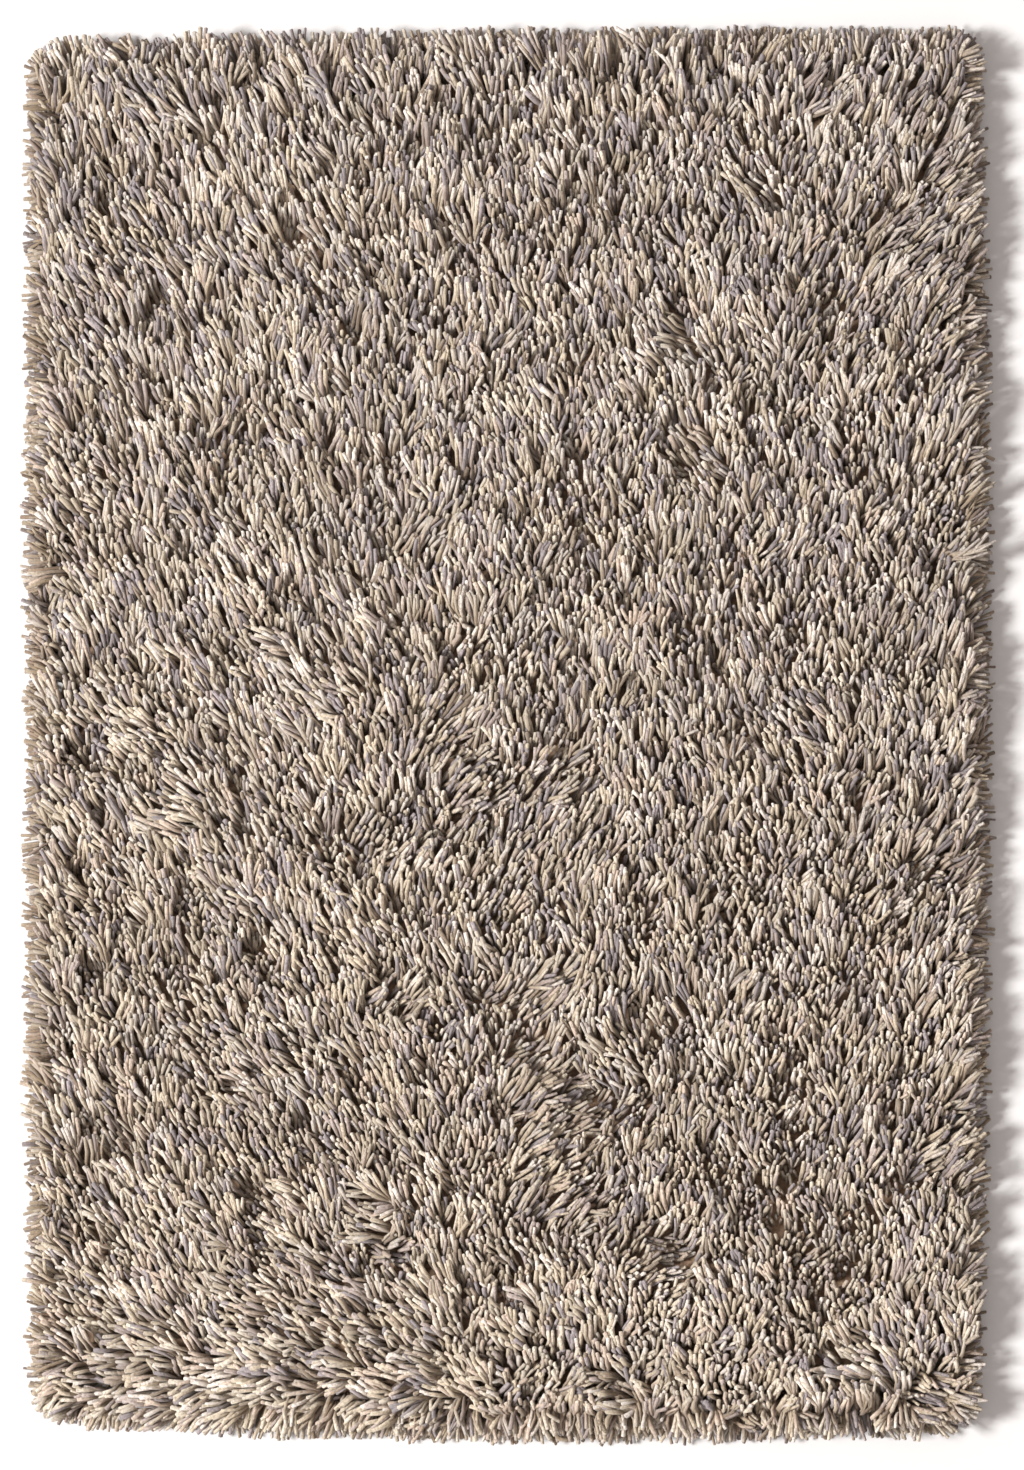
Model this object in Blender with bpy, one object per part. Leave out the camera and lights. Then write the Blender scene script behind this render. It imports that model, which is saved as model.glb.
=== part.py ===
"""Shag rug of thick felted wool yarns, lying flat.

The rug is one closed solid: a flat underside, a lumpy pile top whose bunches run
with the comb of the pile, and a rim of locks that droop outwards to the floor.
Units are metres, +Z is up, +X runs across the rug and +Y along it.
The origin is on the floor under the middle of the rug.
"""

import math
import random

import bmesh
import bpy
from mathutils import Vector, noise

OBJECT_NAME = "shag_rug"

# Overall size, from lock tip to lock tip.
RUG_WIDTH = 1.34
RUG_LENGTH = 1.95

# Pile, measured from the floor.
PILE_HEIGHT = 0.046
RIM_HEIGHT = 0.031
RIM_ROUND = 0.080
LUMP_HEIGHT = 0.011
LUMP_SIZE = 0.062
LUMP_RUN = 0.030
LUMP_STEPS = (-1.5, -0.5, 0.5, 1.5)
LUMP_SLOPE = 0.55
LUMP_GAIN = 1.6
LUMP_LAYER = 0.35
RIM_LUMP_SHARE = 0.3

# Outline of the slab inside the locks.
LOCK_REACH = 0.058
CORNER_RADIUS = 0.055
CELLS_ACROSS = 40
CELLS_ALONG = 58

# How far the edges swell past a straight line between the corners.
EDGE_SWELL = {"left": 0.004, "right": 0.013, "far": 0.006, "near": 0.021}

# How far each corner falls short of the overall box.
# side across, side along: (short across, short along)
CORNER_SHORT = {
    (-1, 1): (0.002, 0.018),
    (1, 1): (0.007, 0.000),
    (1, -1): (0.009, 0.006),
    (-1, -1): (0.007, 0.020),
}

# Way the pile leans, in degrees from +X towards +Y, charted over the rug from its
# far end to its near end.
# place along: (left, left middle, middle, right middle, right)
COMB_CHART = {
    1.00: (110, 95, 90, 85, 70),
    0.67: (125, 110, 85, 85, 55),
    0.33: (115, 105, 100, 95, 60),
    0.00: (100, 115, 60, 110, 60),
    -0.33: (105, 105, 80, 85, 60),
    -0.67: (125, 130, 90, 100, 60),
    -1.00: (200, 225, 265, 310, 320),
}

# Stations of a rim lock, from its root to its tip, as shares of the lock's reach,
# of its root width and of its root height.
LOCK_STATIONS = (
    {"reach": 0.34, "width": 0.78, "height": 0.92},
    {"reach": 0.76, "width": 0.62, "height": 0.60},
    {"reach": 1.00, "width": 0.34, "height": 0.20},
)
LOCK_SIDE_LEAN = 0.50
LOCK_SIDE_STRAY = 0.11
LOCK_REACH_STRAY = 0.20
LOCK_HEIGHT_STRAY = 0.15
STRAY_SEED = 7

FELTED_WOOL = {"colour": (0.58, 0.51, 0.42, 1.0), "roughness": 0.94, "metallic": 0.0}
SHADE_SHARP_ANGLE = math.radians(40.0)


def clear_scene():
    """Remove whatever the file opened with."""
    for leftover in list(bpy.data.objects):
        bpy.data.objects.remove(leftover, do_unlink=True)


def smooth_step(value):
    """Ease from 0 to 1 with level ends."""
    held = min(max(value, 0.0), 1.0)
    return held * held * (3.0 - 2.0 * held)


def way(degrees):
    """Unit vector across the floor in a direction given in degrees."""
    return Vector((math.cos(math.radians(degrees)), math.sin(math.radians(degrees))))


def comb_at(across, along):
    """Lean of the pile at a place given in shares of the half width and half length."""
    stations = sorted(COMB_CHART)
    columns = len(COMB_CHART[stations[0]])
    held_along = min(max(along, stations[0]), stations[-1])
    row = max(i for i in range(len(stations) - 1) if stations[i] <= held_along)
    row_share = (held_along - stations[row]) / (stations[row + 1] - stations[row])
    column_place = (min(max(across, -1.0), 1.0) + 1.0) / 2.0 * (columns - 1)
    column = min(int(column_place), columns - 2)
    column_share = column_place - column
    near_row, far_row = COMB_CHART[stations[row]], COMB_CHART[stations[row + 1]]
    near_lean = way(near_row[column]).lerp(way(near_row[column + 1]), column_share)
    far_lean = way(far_row[column]).lerp(way(far_row[column + 1]), column_share)
    return near_lean.lerp(far_lean, row_share)


def bunching(place):
    """Uneven bunching of the pile at a place on the floor, about -1 to 1."""
    scaled = place / LUMP_SIZE
    return LUMP_GAIN * noise.noise(Vector((scaled.x, scaled.y, LUMP_LAYER)))


def lump_at(place, across, along):
    """Height of the pile's bunches: long with the comb, steeper at their tips."""
    run = comb_at(across, along) * LUMP_RUN
    ridge = sum(bunching(place + run * step) for step in LUMP_STEPS) / len(LUMP_STEPS)
    drop = bunching(place) - bunching(place + run)
    return ridge + LUMP_SLOPE * drop


def slab_half_size():
    """Half width and half length of the slab that the locks grow from."""
    return RUG_WIDTH / 2 - LOCK_REACH, RUG_LENGTH / 2 - LOCK_REACH


def round_corner(place, half_size):
    """Pull a place near a corner of the plain rectangle inside the rounded one."""
    reach = [abs(place[axis]) - (half_size[axis] - CORNER_RADIUS) for axis in range(2)]
    if min(reach) <= 0.0:
        return place
    share = [value / CORNER_RADIUS for value in reach]
    rounded = (
        share[0] * math.sqrt(1.0 - share[1] ** 2 / 2.0),
        share[1] * math.sqrt(1.0 - share[0] ** 2 / 2.0),
    )
    inner = [half_size[axis] - CORNER_RADIUS for axis in range(2)]
    return Vector(
        math.copysign(inner[axis] + rounded[axis] * CORNER_RADIUS, place[axis])
        for axis in range(2)
    )


def outline_shift(across, along):
    """Move that turns the plain rectangle into the rug's own uneven outline."""
    shift = Vector((0.0, 0.0))
    for (side_across, side_along), (short_across, short_along) in CORNER_SHORT.items():
        share = (1.0 + side_across * across) * (1.0 + side_along * along) / 4.0
        shift.x -= share * side_across * short_across
        shift.y -= share * side_along * short_along
    along_bow = 1.0 - along ** 2
    across_bow = 1.0 - across ** 2
    shift.x += EDGE_SWELL["right"] * along_bow * (1.0 + across) / 2.0
    shift.x -= EDGE_SWELL["left"] * along_bow * (1.0 - across) / 2.0
    shift.y += EDGE_SWELL["far"] * across_bow * (1.0 + along) / 2.0
    shift.y -= EDGE_SWELL["near"] * across_bow * (1.0 - along) / 2.0
    return shift


def pile_height(place, across, along, half_size):
    """Height of the pile top: a drooped rim, a level middle and its bunches."""
    from_rim = min((1.0 - abs(across)) * half_size[0], (1.0 - abs(along)) * half_size[1])
    crown = smooth_step(from_rim / RIM_ROUND)
    body = RIM_HEIGHT + (PILE_HEIGHT - RIM_HEIGHT) * crown
    lump_share = RIM_LUMP_SHARE + (1.0 - RIM_LUMP_SHARE) * crown
    return body + LUMP_HEIGHT * lump_at(place, across, along) * lump_share


def grow_slab(bm):
    """Build the closed slab: a grid for the pile top, walls down and one flat underside."""
    half_size = slab_half_size()
    bmesh.ops.create_grid(bm, x_segments=CELLS_ACROSS, y_segments=CELLS_ALONG, size=1.0)
    rim_edges = [edge for edge in bm.edges if edge.is_boundary]
    walls = bmesh.ops.extrude_edge_only(bm, edges=rim_edges)["geom"]
    floor_verts = {item for item in walls if isinstance(item, bmesh.types.BMVert)}
    for vert in bm.verts:
        across, along = vert.co.x, vert.co.y
        plain = Vector((across * half_size[0], along * half_size[1]))
        place = round_corner(plain, half_size) + outline_shift(across, along)
        height = 0.0
        if vert not in floor_verts:
            height = pile_height(place, across, along, half_size)
        vert.co = (place.x, place.y, height)
    floor_edges = [edge for edge in bm.edges if edge.is_boundary]
    bmesh.ops.contextual_create(bm, geom=floor_edges)
    bmesh.ops.recalc_face_normals(bm, faces=bm.faces)
    return [item for item in walls if isinstance(item, bmesh.types.BMFace)]


def plan_lock(wall, chance):
    """Sizes and heading of the lock that grows from one wall face."""
    centre = wall.calc_center_median()
    root = Vector((centre.x, centre.y))
    outward = Vector((wall.normal.x, wall.normal.y)).normalized()
    along_wall = Vector((-outward.y, outward.x))
    comb = comb_at(2.0 * root.x / RUG_WIDTH, 2.0 * root.y / RUG_LENGTH)
    side_stray = LOCK_SIDE_STRAY * chance.uniform(-1.0, 1.0)
    reach_stray = 1.0 + LOCK_REACH_STRAY * chance.uniform(-1.0, 1.0)
    height_stray = 1.0 + LOCK_HEIGHT_STRAY * chance.uniform(-1.0, 1.0)
    side_lean = LOCK_SIDE_LEAN * comb.dot(along_wall) + side_stray
    corner_stretch = 1.0 / max(abs(outward.x), abs(outward.y))
    top_corners = [vert.co.z for vert in wall.verts if vert.co.z > centre.z]
    floor_corners = [vert.co for vert in wall.verts if vert.co.z <= centre.z]
    return {
        "root": root,
        "along_wall": along_wall,
        "heading": outward + along_wall * side_lean,
        "reach": LOCK_REACH * corner_stretch * reach_stray,
        "width": (floor_corners[0] - floor_corners[1]).length,
        "height": sum(top_corners) / len(top_corners) * height_stray,
    }


def place_station(face, lock, station):
    """Set one cross section of a lock: level on the floor and thinner towards the tip."""
    middle = face.calc_center_median()
    centre = lock["root"] + lock["heading"] * lock["reach"] * station["reach"]
    half_width = lock["width"] * station["width"] / 2.0
    for vert in face.verts:
        offset = Vector((vert.co.x - middle.x, vert.co.y - middle.y))
        side = math.copysign(1.0, offset.dot(lock["along_wall"]))
        corner = centre + lock["along_wall"] * side * half_width
        upper = vert.co.z > middle.z
        vert.co = (corner.x, corner.y, lock["height"] * station["height"] if upper else 0.0)


def grow_locks(bm, walls):
    """Draw every wall face out into a drooping four-sided lock."""
    numbers = bm.faces.layers.int["lock"]
    chance = random.Random(STRAY_SEED)
    locks = []
    for wall in walls:
        wall[numbers] = len(locks)
        locks.append(plan_lock(wall, chance))
    faces = walls
    for station in LOCK_STATIONS:
        faces = bmesh.ops.extrude_discrete_faces(bm, faces=faces)["faces"]
        for face in faces:
            place_station(face, locks[face[numbers]], station)


def fit_overall_size(bm):
    """Bring the lock tips to the overall width and length, centred on the origin."""
    for axis, size in ((0, RUG_WIDTH), (1, RUG_LENGTH)):
        values = [vert.co[axis] for vert in bm.verts]
        middle = (min(values) + max(values)) / 2.0
        stretch = size / (max(values) - min(values))
        for vert in bm.verts:
            vert.co[axis] = (vert.co[axis] - middle) * stretch


def felted_wool():
    """Material of the pile: matt undyed wool in mixed natural tones."""
    material = bpy.data.materials.new("felted_wool")
    material.use_nodes = True
    shader = material.node_tree.nodes["Principled BSDF"]
    shader.inputs["Base Color"].default_value = FELTED_WOOL["colour"]
    shader.inputs["Roughness"].default_value = FELTED_WOOL["roughness"]
    shader.inputs["Metallic"].default_value = FELTED_WOOL["metallic"]
    return material


def make_rug(collection):
    """Make the rug's one solid and put it in its collection."""
    bm = bmesh.new()
    bm.faces.layers.int.new("lock")
    walls = grow_slab(bm)
    grow_locks(bm, walls)
    fit_overall_size(bm)
    bmesh.ops.recalc_face_normals(bm, faces=bm.faces)
    mesh = bpy.data.meshes.new(OBJECT_NAME)
    bm.to_mesh(mesh)
    bm.free()
    mesh.materials.append(felted_wool())
    mesh.shade_smooth()
    mesh.set_sharp_from_angle(angle=SHADE_SHARP_ANGLE)
    rug = bpy.data.objects.new(OBJECT_NAME, mesh)
    collection.objects.link(rug)
    return rug


def main():
    """Build the rug in a clean scene."""
    clear_scene()
    collection = bpy.data.collections.new("Shag rug")
    bpy.context.scene.collection.children.link(collection)
    make_rug(collection)


main()
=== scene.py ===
"""Shag rug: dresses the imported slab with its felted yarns, woven backing and a plain studio."""

import math

import bpy
import numpy as np
from mathutils.kdtree import KDTree
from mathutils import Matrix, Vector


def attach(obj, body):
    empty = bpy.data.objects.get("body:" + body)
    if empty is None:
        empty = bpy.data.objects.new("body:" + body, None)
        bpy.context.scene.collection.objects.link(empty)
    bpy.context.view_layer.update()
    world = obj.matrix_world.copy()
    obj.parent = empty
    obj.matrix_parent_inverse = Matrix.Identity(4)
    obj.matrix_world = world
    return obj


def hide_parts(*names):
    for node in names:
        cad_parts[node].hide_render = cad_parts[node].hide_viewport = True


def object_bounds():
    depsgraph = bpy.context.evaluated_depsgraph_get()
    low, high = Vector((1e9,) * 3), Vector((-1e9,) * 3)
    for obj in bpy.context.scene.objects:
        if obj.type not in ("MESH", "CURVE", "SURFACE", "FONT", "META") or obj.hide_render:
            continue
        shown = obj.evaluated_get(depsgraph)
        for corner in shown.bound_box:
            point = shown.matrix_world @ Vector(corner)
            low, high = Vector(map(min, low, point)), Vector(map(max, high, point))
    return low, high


bl_info = {
    "name": "Shag Rug",
    "version": (1, 0, 0),
    "blender": (4, 5, 0),
    "location": "3D View > Sidebar > Shag Rug",
    "description": "Felted wool yarns, a woven backing and a plain studio for a flat shag rug",
    "category": "Add Mesh",
}

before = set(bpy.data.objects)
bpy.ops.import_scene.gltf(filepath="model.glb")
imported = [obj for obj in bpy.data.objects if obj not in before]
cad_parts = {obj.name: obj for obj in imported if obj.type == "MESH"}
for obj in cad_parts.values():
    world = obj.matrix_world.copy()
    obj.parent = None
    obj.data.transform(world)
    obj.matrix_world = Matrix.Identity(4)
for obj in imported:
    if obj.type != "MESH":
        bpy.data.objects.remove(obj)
CAD_LOW, CAD_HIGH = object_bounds()
SLAB_NODE = "shag_rug"
BODY = "root"

# Outline of the backing, as the solid has it.
EDGE_SWELL = {"left": 0.004, "right": 0.013, "far": 0.006, "near": 0.021}
CORNER_RADIUS = 0.055
# side across, side along: (short across, short along)
CORNER_SHORT = {
    (-1, 1): (0.002, 0.018),
    (1, 1): (0.007, 0.000),
    (1, -1): (0.009, 0.006),
    (-1, -1): (0.007, 0.020),
}

# Way the pile is combed, in degrees from +X towards +Y, charted from the
# far end of the rug to its near end.
# place along: nine places across, from the left edge to the right edge
COMB_CHART = {
    1.00: (112, 104, 100, 95, 91, 92, 88, 80, 68),
    0.83: (114, 104, 104, 98, 92, 88, 92, 80, 62),
    0.67: (120, 108, 103, 97, 92, 92, 92, 74, 62),
    0.50: (115, 98, 99, 97, 95, 98, 90, 80, 64),
    0.33: (104, 102, 101, 98, 97, 94, 90, 82, 74),
    0.17: (106, 105, 108, 97, 98, 90, 94, 90, 76),
    0.00: (112, 112, 115, 92, 84, 86, 98, 88, 70),
    -0.17: (110, 112, 110, 92, 80, 80, 92, 80, 60),
    -0.33: (108, 105, 106, 104, 92, 90, 88, 80, 64),
    -0.50: (115, 108, 118, 104, 92, 96, 92, 92, 66),
    -0.67: (120, 112, 120, 110, 92, 90, 92, 96, 68),
    -0.75: (118, 114, 126, 116, 102, 86, 92, 94, 70),
    -0.83: (140, 134, 140, 138, 108, 90, 92, 98, 58),
    -0.92: (185, 182, 172, 175, 110, 90, 92, 110, 38),
    -1.00: (228, 236, 238, 242, 262, 280, 290, 305, 325),
}

# Patches where the pile was brushed another way: place across and along and reach,
# in metres, then the heading in degrees and the lean.
BRUSHED_PATCHES = (
    (-0.474, 0.865, 0.048, 125, 0.70), (0.435, 0.881, 0.041, 64, 0.48),
    (0.323, 0.751, 0.054, 122, 0.60), (0.350, 0.604, 0.030, 116, 0.50),
    (0.418, 0.588, 0.030, 70, 0.50), (0.543, 0.674, 0.064, 52, 0.50),
    (0.232, 0.528, 0.040, 148, 0.65), (0.262, 0.381, 0.040, 140, 0.65),
    (0.608, 0.761, 0.041, 35, 0.70), (-0.093, 0.280, 0.041, 72, 0.60),
    (-0.326, 0.108, 0.041, 150, 0.75), (-0.261, 0.047, 0.048, 140, 0.65),
    (-0.499, -0.004, 0.041, 150, 0.65), (-0.464, -0.116, 0.041, 150, 0.65),
    (-0.586, 0.225, 0.044, 130, 0.60), (-0.076, 0.004, 0.057, 55, 0.50),
    (-0.046, -0.061, 0.051, 36, 0.55), (-0.139, -0.152, 0.044, 55, 0.50),
    (0.073, -0.061, 0.054, 44, 0.60), (0.102, -0.146, 0.070, 52, 0.45),
    (0.392, 0.012, 0.067, 128, 0.55), (0.591, -0.168, 0.051, 44, 0.60),
    (0.047, -0.345, 0.057, 50, 0.55), (0.079, -0.507, 0.073, 24, 0.70),
    (0.040, -0.454, 0.048, 42, 0.55), (0.157, -0.438, 0.048, 130, 0.50),
    (0.233, -0.365, 0.038, 128, 0.60), (0.330, -0.359, 0.041, 52, 0.55),
    (-0.151, -0.365, 0.041, 40, 0.65), (-0.358, -0.489, 0.035, 150, 0.70),
    (-0.326, -0.631, 0.044, 138, 0.60), (-0.164, -0.700, 0.038, 28, 0.75),
    (-0.188, -0.668, 0.044, 165, 0.75), (0.047, -0.617, 0.057, 45, 0.50),
    (0.098, -0.661, 0.051, 50, 0.50), (0.217, -0.724, 0.044, 18, 0.75),
    (0.479, -0.876, 0.060, 165, 0.85), (0.603, -0.580, 0.044, 40, 0.60),
    (0.631, -0.530, 0.038, 25, 0.65), (0.065, -0.876, 0.054, 75, 0.45),
    (0.148, -0.907, 0.048, 160, 0.60), (0.599, -0.928, 0.041, 340, 0.80),
    (0.319, -0.921, 0.050, 90, 0.14), (0.457, -0.931, 0.042, 90, 0.14),
)

# How far the pile leans over, from 0, nearly upright, to 1, laid right over.
# place along: (left, left middle, middle, right middle, right)
LEAN_CHART = {
    1.00: (0.66, 0.70, 0.66, 0.62, 0.62),
    0.67: (0.58, 0.62, 0.56, 0.48, 0.52),
    0.33: (0.54, 0.56, 0.50, 0.42, 0.48),
    0.00: (0.50, 0.50, 0.40, 0.38, 0.42),
    -0.33: (0.44, 0.42, 0.34, 0.28, 0.38),
    -0.67: (0.48, 0.50, 0.40, 0.30, 0.38),
    -0.83: (0.74, 0.76, 0.46, 0.30, 0.42),
    -0.92: (0.88, 0.90, 0.50, 0.24, 0.50),
    -1.00: (0.88, 0.90, 0.72, 0.44, 0.60),
}

# Yarn thickness, as a share of the usual one.
# place along: (left, middle, right)
GIRTH_CHART = {
    1.00: (1.02, 1.02, 0.97),
    0.00: (1.08, 1.02, 0.96),
    -0.70: (1.02, 0.98, 0.94),
    -0.85: (1.02, 1.14, 1.06),
    -1.00: (1.02, 1.16, 1.10),
}

# How strongly the yarns curl, as a share of the usual bend.
# place along: (left, left middle, middle, right middle, right)
CURL_CHART = {
    1.00: (1.0, 1.0, 1.0, 1.0, 1.0),
    -0.70: (1.0, 1.0, 1.1, 1.0, 1.1),
    -0.82: (1.0, 1.1, 2.8, 2.2, 2.6),
    -1.00: (1.1, 1.3, 3.4, 2.6, 3.2),
}

# How strongly the yarns gather in tufts and the tufts differ in tone.
# place along: (left, middle, right)
GATHER_CHART = {
    1.00: (1.00, 1.20, 1.35),
    0.00: (0.95, 1.12, 1.30),
    -0.70: (0.85, 1.10, 1.25),
    -1.00: (0.55, 1.00, 1.15),
}

# Yarn colours, the share of the yarns that each has, and how much more often than usual
# it comes where the rug looks warmer.
YARN_TONES = {
    "ivory": {"share": 0.20, "warmth": -0.6, "colour": (0.87, 0.78, 0.70)},
    "cream": {"share": 0.20, "warmth": 0.2, "colour": (0.82, 0.72, 0.59)},
    "sand": {"share": 0.18, "warmth": 0.9, "colour": (0.685, 0.577, 0.437)},
    "mauve_grey": {"share": 0.12, "warmth": -0.4, "colour": (0.535, 0.44, 0.398)},
    "lavender_grey": {"share": 0.14, "warmth": -0.7, "colour": (0.405, 0.35, 0.358)},
    "taupe": {"share": 0.06, "warmth": 0.2, "colour": (0.365, 0.28, 0.20)},
    "rosy_beige": {"share": 0.10, "warmth": 1.5, "colour": (0.712, 0.575, 0.465)},
}
# Where the rug looks warmer: slopes across and along it, the limit, how much the shares
# follow, and the least factor on a share.
WARMER = {"across": -0.35, "along": -0.75, "limit": 0.9, "gain": 0.70, "least": 0.1}
# Share of the yarns that take their bundle's colour.
BUNDLE_COLOUR_SHARE = 0.4

# Shades in one yarn, as shares of its colour: 'dull' to 'bright' spans its tone, which holds
# random dye and painted light and shade; 'foot' is painted shade at its foot.
WOOL_SHADES = {"dull": 0.72, "bright": 1.13, "fleck": 0.58, "fuzz": 1.25, "foot": 0.34}
# Warm tint of the painted shade on wool deep in the pile.
DEEP_SHADE_TINT = (1.0, 0.77, 0.52)

SEED = 11
# One seed for each uneven field over the rug.
FIELD_SEEDS = {
    "roots": 7, "turn": 100, "lean": 200, "swell": 300, "tone": 400, "drift": (500, 600),
}
LATTICE_COUNT = 61


def lattice_noise(place, size, seed):
    """Smooth uneven field over the floor, from -1 to 1, with bumps of about the given size."""
    count = LATTICE_COUNT
    lattice = np.random.default_rng(seed).uniform(-1.0, 1.0, (count, count))
    cell = place / size
    low = np.floor(cell).astype(int)
    ease = smooth_step(cell - low)
    (x0, y0), (x1, y1) = (low % count).T, ((low + 1) % count).T
    near = lattice[x0, y0] * (1 - ease[:, 0]) + lattice[x1, y0] * ease[:, 0]
    far = lattice[x0, y1] * (1 - ease[:, 0]) + lattice[x1, y1] * ease[:, 0]
    return near * (1 - ease[:, 1]) + far * ease[:, 1]


def smooth_step(value):
    """Ease from 0 to 1 with level ends."""
    held = np.clip(value, 0.0, 1.0)
    return held * held * (3.0 - 2.0 * held)


def between(pair, share):
    """Value at a share of the way between a pair of limits."""
    return pair[0] + (pair[1] - pair[0]) * share


def ways(degrees):
    """Unit vectors across the floor in directions given in degrees."""
    angle = np.radians(degrees)
    return np.stack([np.cos(angle), np.sin(angle)], axis=-1)


def headings(vectors):
    """Directions of vectors across the floor, in degrees."""
    return np.degrees(np.arctan2(vectors[:, 1], vectors[:, 0]))


def read_chart(chart, across, along, as_ways=False):
    """Blend a chart's rows and columns at places in shares of the half width and half length."""
    stations = sorted(chart)
    table = np.array([chart[station] for station in stations], float)
    table = ways(table) if as_ways else table[..., None]
    row_place = np.interp(along, stations, np.arange(len(stations)))
    column_place = (np.clip(across, -1.0, 1.0) + 1.0) / 2.0 * (table.shape[1] - 1)
    row = np.minimum(row_place.astype(int), table.shape[0] - 2)
    column = np.minimum(column_place.astype(int), table.shape[1] - 2)
    row_share = (row_place - row)[:, None]
    column_share = (column_place - column)[:, None]
    near = table[row, column] * (1 - column_share) + table[row, column + 1] * column_share
    far = table[row + 1, column] * (1 - column_share) + table[row + 1, column + 1] * column_share
    return near * (1 - row_share) + far * row_share


def half_rug():
    """Half width and half length of the whole rug, over its yarn tips."""
    return np.array(CAD_HIGH - CAD_LOW)[:2] / 2.0


def slab_half_size(sizes):
    """Half width and half length of the backing."""
    return half_rug() - sizes.overhang


def outline_place(across, along, half_size):
    """Places on the floor of points in shares of the half width and half length."""
    plain = np.stack([across, along], axis=-1) * half_size
    inner = half_size - CORNER_RADIUS
    share = np.clip((np.abs(plain) - inner) / CORNER_RADIUS, 0.0, 1.0)
    rounded = share * np.sqrt(1.0 - share[:, ::-1] ** 2 / 2.0)
    pulled = np.sign(plain) * (inner + rounded * CORNER_RADIUS)
    place = np.where(share.min(axis=1, keepdims=True) > 0.0, pulled, plain)
    for (side_across, side_along), short in CORNER_SHORT.items():
        weight = (1.0 + side_across * across) * (1.0 + side_along * along) / 4.0
        place -= weight[:, None] * np.array([side_across * short[0], side_along * short[1]])
    along_bow = 1.0 - along**2
    across_bow = 1.0 - across**2
    place[:, 0] += EDGE_SWELL["right"] * along_bow * (1.0 + across) / 2.0
    place[:, 0] -= EDGE_SWELL["left"] * along_bow * (1.0 - across) / 2.0
    place[:, 1] += EDGE_SWELL["far"] * across_bow * (1.0 + along) / 2.0
    place[:, 1] -= EDGE_SWELL["near"] * across_bow * (1.0 - along) / 2.0
    return place


# ---------------------------------------------------------------- settings


class RugSizes(bpy.types.PropertyGroup):
    """Sizes of the rug's pile and backing."""

    overhang: bpy.props.FloatProperty(
        name="Overhang",
        description="How far the pile reaches past the backing on every side",
        default=0.058,
        min=0.0,
        unit="LENGTH",
    )
    yarn_thickness: bpy.props.FloatProperty(
        name="Yarn thickness",
        description="Diameter of one felted yarn",
        default=0.0054,
        min=0.001,
        unit="LENGTH",
    )
    yarn_length: bpy.props.FloatProperty(
        name="Yarn length",
        description="Length of one yarn from its knot to its tip",
        default=0.066,
        min=0.01,
        unit="LENGTH",
    )
    yarn_pitch: bpy.props.FloatProperty(
        name="Yarn pitch",
        description="Distance between neighbouring yarns",
        default=0.0093,
        min=0.005,
        unit="LENGTH",
    )
    bundle_pitch: bpy.props.FloatProperty(
        name="Bundle pitch",
        description="Distance between neighbouring bundles of yarns that lie alike",
        default=0.026,
        min=0.01,
        unit="LENGTH",
    )
    bed_height: bpy.props.FloatProperty(
        name="Bed height",
        description="Height above the floor of the packed wool at the foot of the pile",
        default=0.018,
        min=0.004,
        unit="LENGTH",
    )
    backing_thickness: bpy.props.FloatProperty(
        name="Backing thickness",
        description="Thickness of the woven backing cloth",
        default=0.0028,
        min=0.001,
        unit="LENGTH",
    )


class RugColours(bpy.types.PropertyGroup):
    """Colours of the rug's backing, of the foot of its pile and of the floor."""

    backing: bpy.props.FloatVectorProperty(
        name="Backing",
        description="Colour of the woven backing cloth",
        default=(0.45, 0.37, 0.27),
        min=0.0,
        max=1.0,
        subtype="COLOR",
    )
    # The pile roots' dark brown is painted shade between the yarns.
    roots: bpy.props.FloatVectorProperty(
        name="Pile roots",
        description="Colour of the packed wool between the yarns",
        default=(0.17, 0.112, 0.074),
        min=0.0,
        max=1.0,
        subtype="COLOR",
    )
    floor: bpy.props.FloatVectorProperty(
        name="Floor",
        description="Colour of the plain studio floor",
        default=(0.655, 0.65, 0.65),
        min=0.0,
        max=1.0,
        subtype="COLOR",
    )


class RugStudio(bpy.types.PropertyGroup):
    """Place and strength of the studio's camera and lights."""

    camera_height: bpy.props.FloatProperty(
        name="Camera height",
        description="Height of the camera above the floor",
        default=6.0,
        min=1.0,
        unit="LENGTH",
    )
    view_length: bpy.props.FloatProperty(
        name="View length",
        description="Length of floor that the picture's long side takes in",
        default=2.030,
        min=0.1,
        unit="LENGTH",
    )
    key_power: bpy.props.FloatProperty(
        name="Key power",
        description="Power of the soft key light at the rug's left",
        default=3620.0,
        min=0.0,
        unit="POWER",
    )
    sky_strength: bpy.props.FloatProperty(
        name="Sky strength",
        description="Strength of the even light from all round",
        default=0.60,
        min=0.0,
    )


# ---------------------------------------------------------------- shader tools


class Wire:
    """One number that runs through a material, written in plain arithmetic."""

    def __init__(self, graph, socket):
        self.graph = graph
        self.socket = socket

    def _with(self, operation, first, second):
        return self.graph.wire("ShaderNodeMath", {"operation": operation}, {0: first, 1: second})

    def __add__(self, other):
        return self._with("ADD", self, other)

    __radd__ = __add__

    def __rsub__(self, other):
        return self._with("SUBTRACT", other, self)

    def __mul__(self, other):
        return self._with("MULTIPLY", self, other)

    __rmul__ = __mul__


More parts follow.
